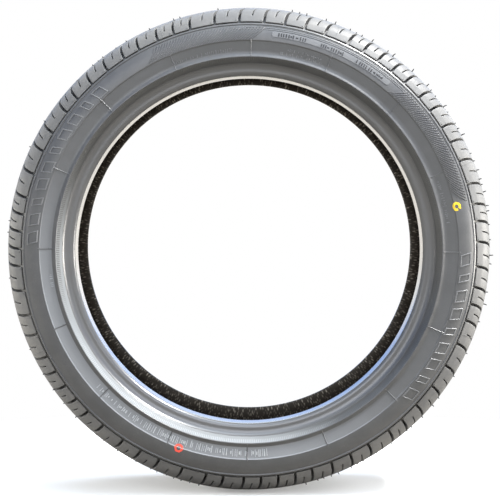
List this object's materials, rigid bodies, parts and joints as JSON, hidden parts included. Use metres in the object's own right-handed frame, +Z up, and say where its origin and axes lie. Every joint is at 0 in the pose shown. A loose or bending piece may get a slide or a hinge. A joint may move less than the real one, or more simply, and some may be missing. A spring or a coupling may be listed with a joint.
{
  "type": "car tyre",
  "caption": "Loose low-profile car tyre with ribbed tread, slotted shoulder blocks, rim protectors and round bead seats.",
  "frame": {"origin": "the tyre's centre, where its axle line crosses its middle plane", "axes": "+Y along the axle line, away from the front sidewall; +Z up, with the contact patch at the bottom; +X to the right seen from the front"},
  "size_m": [0.621, 0.2176, 0.6194],
  "materials": {
    "rubber": "satin moulded rubber"
  },
  "bodies": {
    "root": {"tyre": "rubber"}
  },
  "joints": []
}
